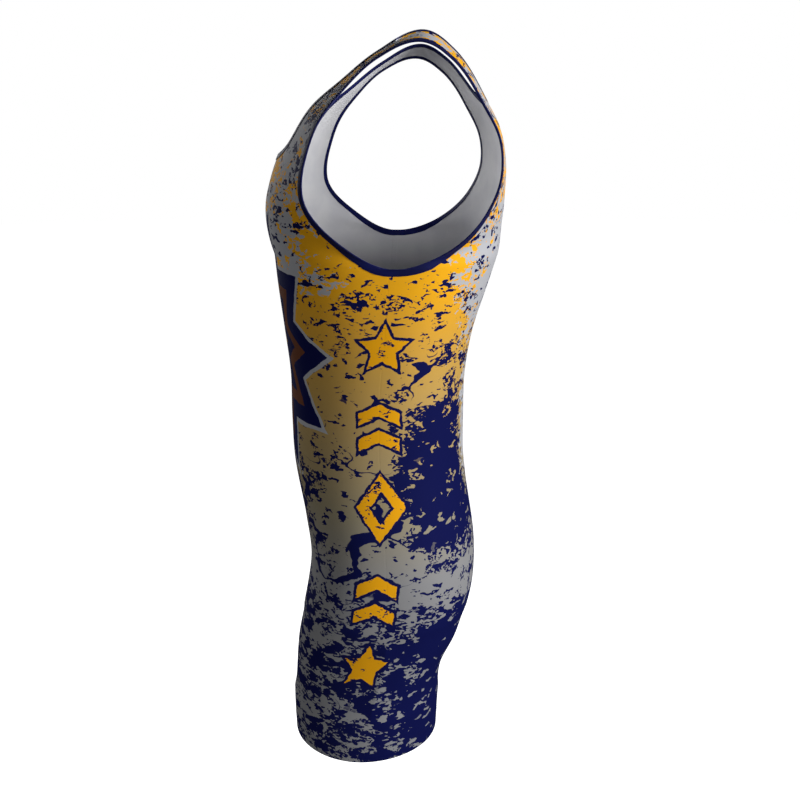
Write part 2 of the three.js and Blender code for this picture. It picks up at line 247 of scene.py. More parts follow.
def armhole_line():
    places = []
    for forward, up in ARMHOLE:
        turn, out = math.degrees(math.atan2(up, forward)), math.hypot(forward, up)
        reach, half, square = row_at(SHOULDERS, turn)
        x = half * max(0, 1 - (out / reach) ** square) ** (1 / square)
        places.append(above_arms(x, turn, out))
    return smooth_loop(places)


def neckline_line():
    left = []
    for x, turn in NECKLINE:
        reach, half, square = row_at(SHOULDERS, turn)
        left.append(above_arms(x, turn, reach * (1 - (x / half) ** square) ** (1 / square)))
    return smooth_loop(left + [mirrored(p) for p in left[-2:0:-1]])


armhole, neckline = armhole_line(), neckline_line()
print("places on the armhole and neckline:", len(armhole), len(neckline))

# %% [markdown]
# ## Laying out a panel
# A panel is one grid of rows and columns for each half. The rows of the strap have no places in the
# inner columns, which is how the neckline is cut out. Further rows then run down the chest to the
# underarm, the waist, the hips and the leg. The grid is fine enough that the cloth
# looks smooth without a Subdivision modifier, and it lies on the form exactly, which that wouldn't.

# %% Rows and columns of half a panel
FINE = 5
COLUMNS, NECK_COLUMNS = 11 * FINE, 5 * FINE
FRONT_STRAP_ROWS, BACK_STRAP_ROWS, CHEST_END = 9 * FINE, 5 * FINE, 20 * FINE
TORSO_ROWS, PELVIS_ROWS, LEG_ROWS = 11 * FINE, 8 * FINE, 6 * FINE
LEG_START = CHEST_END + TORSO_ROWS + PELVIS_ROWS


# %% Places along a line
def mix(a, b, share):
    return a + (b - a) * share


def mix_place(a, b, share):
    return (mix(a[0], b[0], share), mix(a[1], b[1], share))


def running_length(line):
    """How far along a line each of its points is."""
    along = [0.0]
    for a, b in zip(line, line[1:]):
        along.append(along[-1] + (b - a).length)
    return along


def equal_steps(line, count):
    """For count + 1 places along a line, the point before each and the share of the way on."""
    along, i = running_length(line), 0
    for k in range(count + 1):
        target = along[-1] * k / count
        while i < len(line) - 2 and along[i + 1] < target:
            i += 1
        yield i, (target - along[i]) / (along[i + 1] - along[i])


def spaced(line, count, facing):
    steps = equal_steps(line, count)
    return [from_space(line[i].lerp(line[i + 1], share), facing) for i, share in steps]


# %% The strap and the chest
def part(line, first, last):
    """The piece of a smooth line from one of its given points to another."""
    return line[first * CURVE_STEPS : last * CURVE_STEPS + 1]


def edges_of(facing):
    """The strap's two edges, the bottom of the neckline and the lower armhole, on the left."""
    if facing == FRONT:
        return (
            part(neckline, NECKLINE_FRONT, NECKLINE_SHOULDER)[::-1],
            part(armhole, ARMHOLE_FRONT, ARMHOLE_SHOULDER)[::-1],
            part(neckline, 0, NECKLINE_FRONT),
            part(armhole, 0, ARMHOLE_FRONT)[::-1],
        )
    return (
        part(neckline, NECKLINE_SHOULDER, NECKLINE_BACK),
        part(armhole, ARMHOLE_SHOULDER, ARMHOLE_BACK),
        part(neckline, NECKLINE_BACK, len(NECKLINE) - 1)[::-1],
        part(armhole, ARMHOLE_BACK, len(ARMHOLE)),
    )


def strap_and_chest(facing):
    """Rows of places from the shoulder to the underarm."""
    strap_rows = FRONT_STRAP_ROWS if facing == FRONT else BACK_STRAP_ROWS
    neck_side, arm_side, neck_bottom, arm_bottom = edges_of(facing)
    width = COLUMNS - NECK_COLUMNS
    rows = []
    for a, b in zip(spaced(neck_side, strap_rows, facing), spaced(arm_side, strap_rows, facing)):
        strap = [mix_place(a, b, i / width) for i in range(width + 1)]
        rows.append([None] * NECK_COLUMNS + strap)
    top = rows[-1]
    top[: NECK_COLUMNS + 1] = spaced(neck_bottom, NECK_COLUMNS, facing)
    count = CHEST_END - strap_rows
    ends = spaced(arm_bottom, count, facing)
    low = (level_of(CENTRE_AT_UNDERARM), 0.0)
    bottom = [mix_place(low, ends[-1], i / COLUMNS) for i in range(COLUMNS + 1)]
    for k in range(1, count + 1):
        row = [mix_place(a, b, k / count) for a, b in zip(top, bottom)]
        rise, swing = ends[k][0] - row[-1][0], ends[k][1] - row[-1][1]
        shares = [(i / COLUMNS) ** 2 for i in range(COLUMNS + 1)]
        rows.append([(p[0] + s * rise, p[1] + s * swing) for p, s in zip(row, shares)])
    return rows


# %% From the chest to the hem
def half_panel(facing):
    """Rows of points in millimetres from the shoulder to the hem, each from the inside outwards."""
    places = strap_and_chest(facing)
    for k in range(1, TORSO_ROWS + 1):
        share = k / TORSO_ROWS
        inner = (level_of(mix(CENTRE_AT_UNDERARM, HIP_LINE, share)), 0.0)
        outer = (level_of(mix(UNDERARM_Z, HIP_LINE, share)), math.pi / 2)
        places.append([mix_place(inner, outer, i / COLUMNS) for i in range(COLUMNS + 1)])
    rows = [[p and on_form(p, facing) for p in row] for row in places]
    for k in range(1, PELVIS_ROWS + 1):
        angle = k / PELVIS_ROWS * math.pi / 2
        row = []
        for i in range(COLUMNS + 1):
            share = i / COLUMNS
            ease = share * share * (3 - 2 * share)
            z = mix(HIP_LINE, CROTCH, mix(math.sin(angle), k / PELVIS_ROWS, ease))
            torso = on_form((level_of(z), share * math.pi / 2), facing)
            leg = leg_place(facing, share, CROTCH)
            leg.z = z
            row.append(torso.lerp(leg, 1 - math.cos(angle)))
        rows.append(row)
    for k in range(1, LEG_ROWS + 1):
        z = mix(CROTCH, HEM, k / LEG_ROWS)
        rows.append([leg_place(facing, i / COLUMNS, z) for i in range(COLUMNS + 1)])
    return rows


halves = {FRONT: half_panel(FRONT), BACK: half_panel(BACK)}
print("rows and columns of half a panel:", len(halves[FRONT]), len(halves[FRONT][0]))

# %% [markdown]
# ## Cutting and bending the panels
# Each half starts as a flat grid. Its corner inside the neckline is deleted, the rest is bent onto
# the form, and Mirror makes the other half. Two UV maps are written while the grid still knows its
# rows and columns, both in metres: one runs round from the centre line and down from the shoulder,
# which the knit follows, and the other runs round from the side seam, which the side print follows.

# %% Hem fold and distances on the cloth
WALL = 0.7
HEM_TURN, HEM_FOLDS = 0.78, 6  # radius of the fold at the bottom of a leg, rows round it
HEM_DEPTH = 20
HEM_RISES = (2, 6, 10, 14, 17, HEM_DEPTH)  # rows of the turned-up cloth


def leg_normal(facing, share, z):
    centre, half, front, side, back, square = row_at(LEG, z)
    p = leg_place(facing, share, z)
    x, depth = (p.x - centre) / half, (front if facing == FRONT else back) - side
    y = (p.y - side) / depth
    across = math.copysign(abs(x) ** (square - 1) / half, x)
    out = facing * abs(y) ** (square - 1) / abs(depth)
    return Vector((across, out, 0)).normalized()


def hem_rows(facing):
    """The cloth turned under at the hem and up inside the leg."""
    angles = [math.pi * k / HEM_FOLDS for k in range(1, HEM_FOLDS + 1)]
    steps = [(HEM_TURN * (1 - math.cos(a)), -HEM_TURN * math.sin(a)) for a in angles]
    steps += [(2 * HEM_TURN, rise) for rise in HEM_RISES]
    rows = []
    for depth, rise in steps:
        row = []
        for i in range(COLUMNS + 1):
            share, z = i / COLUMNS, HEM + max(rise, 0)
            p = leg_place(facing, share, z) - leg_normal(facing, share, z) * depth
            row.append(p + Vector((0, 0, min(rise, 0))))
        rows.append(row)
    return rows


def distances(rows):
    """For each place, how far it lies from the centre line and below the top of its column."""
    across, down = [], [[0.0] * (COLUMNS + 1)]
    for row in rows:
        along, last = [], None
        for p in row:
            if p is None:
                along.append(0.0)
                continue
            along.append(p.x if last is None else along[-1] + (p - last).length)
            last = p
        across.append(along)
    for above, row in zip(rows, rows[1:]):
        down.append([d + (q - p).length if p and q else 0.0 for d, p, q in zip(down[-1], above, row)])
    return across, down


# %% [markdown]
# The trunk's form and the legs' are blended at the fork, which leaves a faint step. Real knit pulls
# itself smooth there, so the vertices are averaged with their neighbours many times, while the sewn
# edges hold still. Solidify gives the cloth its thickness, with the second material inside.

# %% Walls, faces and the fork
FORK_BAND, FORK_PASSES = (-690, -590), 60
SHARP_ANGLE = 42  # degrees, past which an edge is shaded as a crease
MERGE, SAME = 1e-5, 1e-7  # metres, under which two halves' or two ends' vertices are one


def finish_piece(name, shape, materials):
    mesh = bpy.data.meshes.new(name)
    shape.to_mesh(mesh)
    shape.free()
    mesh.set_sharp_from_angle(angle=math.radians(SHARP_ANGLE))
    piece = in_scene(name, mesh)
    for material in materials:
        mesh.materials.append(material)
    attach(piece, "root")
    return piece


def thicken(cloth, wall):
    """A wall behind every face of a sheet. The new inner faces get the second material."""
    outer = set(cloth.faces)
    bmesh.ops.solidify(cloth, geom=list(cloth.faces), thickness=wall)
    for face in cloth.faces:
        face.smooth = True
        if face not in outer:
            face.material_index = 1
    return cloth


def face_out(sheet, axis, way):
    """Turn a sheet so that its farthest face along an axis looks that way."""
    bmesh.ops.recalc_face_normals(sheet, faces=sheet.faces)
    farthest = max(sheet.faces, key=lambda face: way * face.calc_center_median()[axis])
    if farthest.normal[axis] * way < 0:
        bmesh.ops.reverse_faces(sheet, faces=sheet.faces)


def smooth_fork(cloth):
    """Ease the cloth where the body form meets the legs, with its sewn edges held still."""
    low, high = FORK_BAND
    inner = [v for v in cloth.verts if low * MM < v.co.z < high * MM and not v.is_boundary]
    for _ in range(FORK_PASSES):
        bmesh.ops.smooth_vert(
            cloth, verts=inner, factor=0.5, use_axis_x=True, use_axis_y=True, use_axis_z=True
        )


# %% Cutting and bending a panel
def panel_cloth(facing):
    rows = halves[facing] + hem_rows(facing)
    count = len(rows) - 1
    across, down = distances(rows)
    cloth = bmesh.new()
    bmesh.ops.create_grid(cloth, x_segments=COLUMNS, y_segments=count, size=0.5)
    knit, side = cloth.loops.layers.uv.new("knit"), cloth.loops.layers.uv.new("side")
    spot = {
        v: (round((0.5 - v.co.y) * count), round((v.co.x + 0.5) * COLUMNS)) for v in cloth.verts
    }
    for face in cloth.faces:
        for loop in face.loops:
            k, i = spot[loop.vert]
            from_side = facing * (across[k][-1] - across[k][i])
            loop[knit].uv = (across[k][i] * MM, -down[k][i] * MM)
            loop[side].uv = (from_side * MM, (rows[k][i].z if rows[k][i] else 0) * MM)
    notch = [v for v, (k, i) in spot.items() if rows[k][i] is None]
    bmesh.ops.delete(cloth, geom=notch, context="VERTS")
    for v in cloth.verts:
        k, i = spot[v]
        v.co = rows[k][i] * MM
    everything = cloth.verts[:] + cloth.edges[:] + cloth.faces[:]
    bmesh.ops.mirror(cloth, geom=everything, axis="X", merge_dist=MERGE)
    for face in cloth.faces:
        if face.calc_center_median().x < 0:
            for loop in face.loops:
                loop[knit].uv.x *= -1
    smooth_fork(cloth)
    face_out(cloth, 1, facing)
    return cloth


panels = {facing: panel_cloth(facing) for facing in (FRONT, BACK)}
panel_areas = {facing: sum(f.calc_area() for f in cloth.faces) for facing, cloth in panels.items()}
print("cloth in the two panels, in square metres:", [round(area, 4) for area in panel_areas.values()])

# %% [markdown]
# ## Tape on the edges
# The binding is a strip of tape folded over the raw edge. Each station of the edge gets a small
# frame: the way along it, the way onto the cloth and the way out of it. A grid is bent to the tape's
# profile at every station, and its last row is merged with its first. The reach onto the cloth is
# looked up on the panels themselves with a BVH tree, so the tape lies on them all the way round.

# %% Looking up the cloth
ABOVE_FOLD = 0.5  # above the hem, where its folded faces end
NORMAL_SPREAD = 8  # stations either side over which the way out is averaged


def cloth_tree():
    """The outer faces of both panels, for finding the cloth nearest to a point, in metres."""
    whole = bmesh.new()
    for cloth in panels.values():
        copy = bpy.data.meshes.new("cloth_copy")
        cloth.to_mesh(copy)
        whole.from_mesh(copy)
        bpy.data.meshes.remove(copy)
    folded = [f for f in whole.faces if f.calc_center_median().z < (HEM + ABOVE_FOLD) * MM]
    bmesh.ops.delete(whole, geom=folded, context="FACES")
    tree = BVHTree.FromBMesh(whole)
    whole.free()
    return tree


tree = cloth_tree()


def edge_frames(edge):
    """Place, way onto the cloth and way out of it, at every station of a closed edge."""
    count = len(edge)
    out = [tree.find_nearest(p * MM)[1] for p in edge]
    spread = range(-NORMAL_SPREAD, NORMAL_SPREAD + 1)
    frames = []
    for k, p in enumerate(edge):
        ahead = edge[(k + 1) % count] - edge[k - 1]
        normal = sum((out[(k + s) % count] for s in spread), Vector()).normalized()
        frames.append((p, ahead.cross(normal).normalized(), normal))
    return frames


def arm_edge():
    down = [row[COLUMNS] for row in halves[FRONT][: CHEST_END + 1]]
    return down + [row[COLUMNS] for row in halves[BACK][1:CHEST_END]][::-1]


def neck_edge():
    def from_shoulder(facing, strap_rows):
        strap = [row[NECK_COLUMNS] for row in halves[facing][:strap_rows]]
        return strap + halves[facing][strap_rows][: NECK_COLUMNS + 1][::-1]

    left = from_shoulder(FRONT, FRONT_STRAP_ROWS)[::-1] + from_shoulder(BACK, BACK_STRAP_ROWS)[1:]
    return left + [mirrored(p) for p in left[-2:0:-1]]


# %% [markdown]
# The profile has rounded lips and a small dent along each row of stitches, which pull it down. It
# is a table, so that a dent is easily moved. The cloth's raw edge is drawn back a little, as it
# would otherwise show through the fold.

# %% The tape's profile
TAPE_WALL = 0.35
# how far onto the cloth, how far out of it: from the outer lip round the fold to the inner lip
TAPE_PROFILE = [
    (7.25, 0.38), (7.05, 0.52), (6.6, 0.58), (6.05, 0.5), (5.5, 0.58), (4.2, 0.66), (2.6, 0.6),
    (2.0, 0.52), (1.4, 0.6), (0.7, 0.64), (0.15, 0.52), (-0.15, 0.16), (-0.25, -0.35),
    (-0.15, -0.86), (0.15, -1.22), (0.7, -1.34), (2.0, -1.22), (4.2, -1.36), (6.05, -1.2),
    (6.6, -1.28), (7.05, -1.22), (7.25, -1.08),
]
FOLD = 1.2  # nearer to the edge than this, the tape is free of the cloth
TAPE_GIRTH = 0.018  # metres round the profile, for the knit on it


def on_tape(frame_at, depth, height):
    """A point of the tape: near the fold from the edge's own frame, further in from the cloth."""
    p, inwards, normal = frame_at
    spot = (p + inwards * depth) * MM
    if depth > FOLD:
        found, out, _, _ = tree.find_nearest(spot)
        return found + (out + normal).normalized() * height * MM
    return spot + normal * height * MM


# %% Binding
def binding(name, edge, materials):
    frames = edge_frames(edge)
    across, along = len(TAPE_PROFILE) - 1, len(frames)
    tape = bmesh.new()
    bmesh.ops.create_grid(tape, x_segments=across, y_segments=along, size=0.5)
    weave = tape.loops.layers.uv.new("knit")
    spot = {v: (round((v.co.x + 0.5) * across), round((v.co.y + 0.5) * along)) for v in tape.verts}
    length = running_length(edge + edge[:1])[-1] * MM
    for face in tape.faces:
        for loop in face.loops:
            i, k = spot[loop.vert]
            loop[weave].uv = (i / across * TAPE_GIRTH, k / along * length)
    for v, (i, k) in spot.items():
        v.co = on_tape(frames[k % along], *TAPE_PROFILE[i])
    bmesh.ops.remove_doubles(tape, verts=tape.verts, dist=SAME)
    face_out(tape, 2, 1)
    thicken(tape, TAPE_WALL * MM)
    piece = finish_piece(name, tape, materials)
    print(name, "is", round(length, 3), "m of tape")
    return piece, frames, length


# %% The cloth's raw edge
EDGE_TRIM = 1.2  # how far the cloth's raw edge stays back from the fold
ON_EDGE = 1e-5  # metres from a station, within which a vertex is on the edge


def trim(frames):
    """Draw the cloth's raw edge back, so that it lies inside the fold of the tape."""
    stations = KDTree(len(frames))
    for k, (p, _, _) in enumerate(frames):
        stations.insert(p * MM, k)
    stations.balance()
    moved = 0
    for cloth in panels.values():
        for v in cloth.verts:
            _, k, away = stations.find(v.co)
            if away < ON_EDGE:
                v.co += frames[k][1] * EDGE_TRIM * MM
                moved += 1
    return moved


# %% [markdown]
# ## Finishes
# A finish is a tree of shader nodes. To keep the sums readable, one small class wraps a socket and
# gives it +, -, * and the rest, so that an ordinary Python expression adds the Math nodes. Anything
# else goes through one method, which takes a node's type, its settings and its sockets' values.

# %% Writing shader nodes as sums
def by_node(operation):
    """A method that puts a wire, and a second value if there is one, through a Math node."""
    return lambda wire, *values: wire.maths(operation, *values)


class Wire:
    def __init__(self, finish, socket):
        self.finish, self.socket = finish, socket

    def maths(self, operation, *values):
        return self.finish.maths(operation, self, *values)

    def __rsub__(self, other):
        return self.finish.maths("SUBTRACT", other, self)

    __add__, __sub__ = by_node("ADD"), by_node("SUBTRACT")
    __mul__, __truediv__ = by_node("MULTIPLY"), by_node("DIVIDE")
    least, most, __abs__ = by_node("MINIMUM"), by_node("MAXIMUM"), by_node("ABSOLUTE")

    def step(self, low, high):
        """0 below low and 1 above high, smooth between them."""
        values = {"Value": self, "From Min": low, "From Max": high}
        return self.finish.node("ShaderNodeMapRange", {"interpolation_type": "SMOOTHSTEP"}, values)


# %% A finish and the patterns in it
class Finish:
    def __init__(self, name, **fixed):
        self.material = bpy.data.materials.new(name)
        self.material.use_nodes = True
        self.tree = self.material.node_tree
        self.shader = self.tree.nodes["Principled BSDF"]
        for socket, value in fixed.items():
            self.shader.inputs[socket.replace("_", " ")].default_value = value

    def node(self, kind, settings=None, values=None, out=0):
        node = self.tree.nodes.new(kind)
        for setting, value in (settings or {}).items():
            if setting == "stops":
                while len(node.color_ramp.elements) < len(value):
                    node.color_ramp.elements.new(0.5)
                for element, (at, colour) in zip(node.color_ramp.elements, value):
                    element.position, element.color = at, colour
            else:
                setattr(node, setting, value)
        for socket, value in (values or {}).items():
            if isinstance(value, Wire):
                self.tree.links.new(value.socket, node.inputs[socket])
            else:
                node.inputs[socket].default_value = value
        return Wire(self, node.outputs[out])

    def maths(self, operation, *values):
        return self.node("ShaderNodeMath", {"operation": operation}, dict(enumerate(values)))

    def mix(self, below, above, share):
        """One colour laid over another, where share is 1."""
        values = {0: share, 6: below, 7: above}
        return self.node("ShaderNodeMix", {"data_type": "RGBA"}, values, out=2)

    def moved(self, vector, operation, by):
        return self.node("ShaderNodeVectorMath", {"operation": operation}, {0: vector, 1: by})

    def place(self):
        return self.node("ShaderNodeTexCoord", out="Object")

    def uv(self, name):
        return self.node("ShaderNodeUVMap", {"uv_map": name})

    def parts(self, vector):
        split = self.node("ShaderNodeSeparateXYZ", None, {0: vector})
        return [Wire(self, socket) for socket in split.socket.node.outputs]

    def noise(self, vector, scale, detail, roughness=0.5, distortion=0.0, out=0):
        values = {"Vector": vector, "Scale": scale, "Detail": detail}
        values |= {"Roughness": roughness, "Distortion": distortion}
        return self.node("ShaderNodeTexNoise", None, values, out)

    def warped(self, vector, scale, reach, detail):
        """The same vector, pushed about by up to about half of reach, in knots set by scale."""
        centred = self.moved(self.noise(vector, scale, detail, out=1), "SUBTRACT", (0.5, 0.5, 0.5))
        return self.moved(vector, "ADD", self.moved(centred, "MULTIPLY", (reach, reach, reach)))

    def cells(self, vector, scale):
        """A random value from 0 to 1 for each cell of a Voronoi pattern."""
        values = {"Vector": vector, "Scale": scale}
        return self.parts(self.node("ShaderNodeTexVoronoi", None, values, out=1))[0]

    def spot(self, place, middle, size):
        """1 in the middle of an oval spot in y and z, falling to 0 at its rim. In millimetres."""
        off = self.moved(place, "SUBTRACT", (0, middle[0] * MM, middle[1] * MM))
        off = self.moved(off, "MULTIPLY", (0, 1 / (size[0] * MM), 1 / (size[1] * MM)))
        return self.node("ShaderNodeVectorMath", {"operation": "LENGTH"}, {0: off}, out=1).step(1, 0)

    def star(self, x, y, points, outer, inner):
        """How far inside a star's outline a place is, in metres, with a point straight up."""
        half = math.pi / points
        tip = Vector((inner * math.sin(half), inner * math.cos(half) - outer))
        across, out = -tip.y / tip.length, tip.x / tip.length
        angle = abs(self.maths("ARCTAN2", x, y)).maths("PINGPONG", half)
        reach = self.maths("SQRT", x * x + y * y)
        side = angle.maths("SINE") * across + angle.maths("COSINE") * out
        return outer * out - reach * side

    def feed(self, socket, value):
        self.tree.links.new(value.socket, self.shader.inputs[socket])

    def bump(self, height, depth, strength):
        values = {"Height": height, "Distance": depth, "Strength": strength}
        self.feed("Normal", self.node("ShaderNodeBump", None, values))


def colour(red, green, blue):
    """A colour as a picture shows it, 0 to 255, made linear for the shader."""
    share = [c / 255 for c in (red, green, blue)]
    return (*((s / 12.92 if s < 0.04045 else ((s + 0.055) / 1.055) ** 2.4) for s in share), 1)


# %% [markdown]
# The knit is smooth and fine: its ribs, the wales, stand 0.75 mm apart, and the loops of yarn make
# rows across them. Both are far too small to model, so a Bump node makes them from the knit's UV
# map. The same knit is under the print, on the white inside and in the tape. Inside, the seam
# allowance stands up along each side with its overlock stitches, and a painted shade mixes the
# white down to grey deep in the garment, where little light gets.

# %% Knit
# The third colour is a painted shade: the grey that the white inside is mixed to deep in the garment.
NAVY, NAVY_SHADE, PAINTED_DEEP_SHADE = colour(13, 19, 78), colour(11, 16, 66), colour(84, 84, 88)
WHITE_CLOTH, WHITE_SHADE = colour(214, 214, 216), colour(206, 206, 210)
WALE, COURSE = 0.75, 0.6
KNIT_DEPTH, PRINT_DEPTH = 0.00004, 0.00002  # metres that the bump stands up
ALLOWANCE_EDGE, ALLOWANCE_RISE = (0.0068, 0.0062), 7  # metres from the seam, times the knit's depth
OVERLOCK_STEP, OVERLOCK_RISE = 0.0022, 1.5
PAINTED_SHADE_FROM, PAINTED_SHADE_TO = (-0.18, -0.28), (-0.7, -0.6)  # heights between which the shade comes and goes
CLOUDS, CLOUD_EDGE = (35, 3), (0.35, 0.65)  # soft patches of the second colour
SHARP = 0.0004  # metres over which a printed edge or a fold in the bump turns


def waves(value, length):
    """Even waves from -1 to 1, each of this length in metres."""
    return (value * (2 * math.pi / length)).maths("SINE")


def knit_height(finish):
    x, y, _ = finish.parts(finish.uv("knit"))
    return waves(x, WALE * MM) * 0.6 + waves(y, COURSE * MM) * 0.4


def plain_knit(name, base, other, roughness, sheen, inside=False):
    finish = Finish(name, Roughness=roughness, Sheen_Weight=sheen, Specular_IOR_Level=0.1)
    cloudy = finish.noise(finish.place(), *CLOUDS).step(*CLOUD_EDGE)
    shown = finish.mix(base, other, cloudy)
    height = knit_height(finish)
    if inside:
        # Painted shade: deep in the garment the white is mixed to grey, where little light reaches.
        z = finish.parts(finish.place())[2]
        painted_shade = z.step(*PAINTED_SHADE_FROM) * z.step(*PAINTED_SHADE_TO)
        shown = finish.mix(shown, PAINTED_DEEP_SHADE, painted_shade)
        from_seam, along, _ = finish.parts(finish.uv("side"))
        allowance = from_seam.step(0, SHARP) * from_seam.step(*ALLOWANCE_EDGE)
        overlock = waves(along, OVERLOCK_STEP) * OVERLOCK_RISE
        height = height + allowance * (overlock + ALLOWANCE_RISE)
    finish.feed("Base Color", shown)
    finish.bump(height, KNIT_DEPTH, 0.7)
    return finish.material


white_inside = plain_knit(
    "white_inside", WHITE_CLOTH, WHITE_SHADE, roughness=0.75, sheen=0.1, inside=True
)
navy_tape = plain_knit("navy_tape", NAVY, NAVY_SHADE, roughness=0.65, sheen=0.02)

# %% [markdown]
# ## The print
# The print is dyed into the cloth, so it has no thickness and belongs in the finish. Its ground runs
# from gold at the chest through tan to grey on the legs. Light grey flakes lie over it along the
# front and the back, and navy flakes over both: a few on the chest, almost solid at the back of the
# waist. Tables of oval spots in a side view say where each layer gathers, so that the layout can be
# changed by hand, while the flakes themselves come from a pattern.

# %% Where the layers of the print lie
GOLD, PALE, WHITE = colour(255, 184, 30), colour(190, 191, 196), colour(235, 235, 238)
MOTIF_GOLD, BROWN, TAN = colour(255, 180, 20), colour(112, 66, 44), colour(196, 158, 104)
GROUND_FOOT, GROUND_HEIGHT = 0.742, 0.75  # metres below the origin, and from there to the top
# share of that height, colour of the ground there
GROUND = [
    (0.0, colour(148, 149, 153)), (0.28, colour(148, 148, 150)), (0.37, colour(158, 148, 122)),
    (0.46, colour(182, 157, 108)), (0.57, colour(212, 168, 82)), (0.68, GOLD),
]
# how much more or less of a layer, middle and half size of the spot in y and z
NAVY_SPOTS = [
    (0.35, (-51, -243), (50, 24)), (0.2, (40, -290), (45, 80)), (1.15, (22, -415), (66, 105)),
    (0.75, (50, -485), (70, 55)), (-0.1, (-50, -370), (50, 90)), (0.5, (-125, -455), (45, 70)),
    (-0.15, (-40, -505), (50, 40)), (-0.38, (10, -541), (110, 28)), (0.5, (60, -650), (120, 120)),
    (-1.3, (64, -400), (20, 105)), (0.6, (30, -602), (70, 26)), (0.4, (20, -720), (45, 40)),
    (0.12, (40, -120), (60, 90)), (0.2, (-95, -95), (60, 80)), (0.15, (10, -690), (70, 70)),
]
PALE_SPOTS = [
    (1.2, (-140, -190), (90, 160)), (1.45, (90, -230), (100, 240)), (1.0, (-10, 0), (160, 150)),
    (0.65, (-70, -225), (50, 40)), (1.4, (62, -410), (28, 115)), (0.8, (-135, -450), (45, 80)),
    (1.1, (-95, -85), (75, 95)), (0.6, (60, -70), (60, 90)),
]
CRACK_SPOTS = [
    (1, (-70, -490), (90, 110)), (0.8, (20, -320), (80, 30)), (0.8, (-20, -700), (100, 60)),
]
print("spots of navy and pale:", len(NAVY_SPOTS), len(PALE_SPOTS))

# %% [markdown]
# Worn ink comes off in angular flakes with torn edges. Noise cut at a level gives round blobs, so
# the flakes are cells of a Voronoi pattern, two sizes of it, whose places are pushed about by noise.
# Each cell has a random value, and is inked where the layout's amount is higher. Single cells then
# swap navy and ground as specks, and thin lines where a noise passes its middle value are cracks.

# %% Flakes
FLAKE_SHAPE = (0.68, 0.68, 1.25)  # flakes are longer round the body than along it
FLAKE_EDGE = (-0.005, 0.005)
NAVY_START, PALE_START = 0.17, -0.4  # a layer's amount outside all of its spots
NAVY_APART, PALE_APART, WORN_APART = 0, 3, 9  # metres a layer is moved by, so that no two are alike
LEGS, MORE_ON_LEGS = (-0.47, -0.6), 0.42
# scale, reach and detail of the noise that pushes the cells, cells in a metre
LARGE, SMALL, SPECKS = (60, 0.033, 3, 90), (120, 0.02, 2, 225), (110, 0.02, 2, 165)
LARGE_SHARE, SMALL_SHARE, SPECK_SHARE = 0.55, 0.45, (0.065, 0.06)
PATCHES, PATCH_SHARE = (26, 3, 0.6, 0.3), 1.1  # noise that gathers the flakes
CRACK_PUSH, CRACK_NOISE, CRACK_WIDTH, CRACK_EDGE = (60, 0.01, 2), (11, 3), 0.03, 0.003


def amount(finish, place, spots, start):
    for more, middle, size in spots:
        start = finish.spot(place, middle, size) * more + start
    return start


def flakes(finish, place, scale, reach, detail, density):
    return finish.cells(finish.warped(place, scale, reach, detail), density)


def torn(finish, place, apart):
    """A value from 0 to 1 that differs from flake to flake, in angular shapes with torn edges."""
    place = finish.moved(place, "ADD", (apart, apart, apart))
    patches = finish.noise(place, *PATCHES) - 0.5
    large, small = flakes(finish, place, *LARGE), flakes(finish, place, *SMALL)
    return large * LARGE_SHARE + small * SMALL_SHARE - patches * PATCH_SHARE


def flaked(finish, place, flat, z):
    """The ground under its flakes, specks and cracks."""
    height = (z + GROUND_FOOT) / GROUND_HEIGHT
    ground = finish.node("ShaderNodeValToRGB", {"stops": GROUND}, {0: height})
    pale = amount(finish, place, PALE_SPOTS, PALE_START) - torn(finish, flat, PALE_APART)
    navy = amount(finish, place, NAVY_SPOTS, NAVY_START) + z.step(*LEGS) * MORE_ON_LEGS
    navy = (navy - torn(finish, flat, NAVY_APART)).step(*FLAKE_EDGE)
    specks = flakes(finish, flat, *SPECKS).step(*SPECK_SHARE)
    line = abs(finish.noise(finish.warped(flat, *CRACK_PUSH), *CRACK_NOISE) - 0.5)
    cracks = amount(finish, place, CRACK_SPOTS, 0) * CRACK_WIDTH - line
    inked = abs(navy - specks).most(cracks.step(0, CRACK_EDGE))
    return finish.mix(finish.mix(ground, PALE, pale.step(*FLAKE_EDGE)), NAVY, inked)


# %% [markdown]
# A large burst lies on the chest, with a six-pointed star in its middle, and a column of stars,
# chevrons and a diamond runs down each side over the seam. Each is worked out as a depth inside its
# outline, in metres, so that one sum gives the outline and the rings inside it, sharp at any
# distance. Several shapes are joined by taking the larger depth.

# %% Burst and side motifs
BURST_MIDDLE = -0.3
# points, outer and inner radius
BURST, BURST_STAR, SIDE_STAR = (12, 0.165, 0.118), (6, 0.062, 0.03), (5, 0.033, 0.0165)
# depth from which a colour lies
BURST_RINGS = [(0, PALE), (0.004, NAVY), (0.022, BROWN), (0.034, NAVY), (0.052, TAN)]
STAR_RINGS = [(0, NAVY), (0.003, WHITE), (0.012, NAVY), (0.015, GOLD)]
FRONT_ONLY = -1000  # times the way from the side seam: far outside any shape on the back
# heights of the middles, in metres from the origin
STARS, CHEVRONS, DIAMOND = (-0.288, -0.626), (-0.352, -0.38, -0.53, -0.558), -0.455
LEG_TURN = (-0.45, 0.12)  # below this height the column leans by this much to follow the leg
# half thickness of a bar, how far it falls per width, cosine of that, half width
CHEVRON_BAR, CHEVRON_FALL, CHEVRON_COSINE, CHEVRON_WIDTH = 0.0088, 0.5, 0.87, 0.024
# the same for the diamond: half thickness, size, height per width, cosine
DIAMOND_BAR, DIAMOND_SIZE, DIAMOND_WIDTH, DIAMOND_COSINE = 0.0085, 0.0155, 1.35, 0.6
OUTLINE = 0.003
# scale of the noise, how far it moves an edge
BURST_RAGGED, MOTIF_RAGGED = (60, 0.006), (170, 0.004)


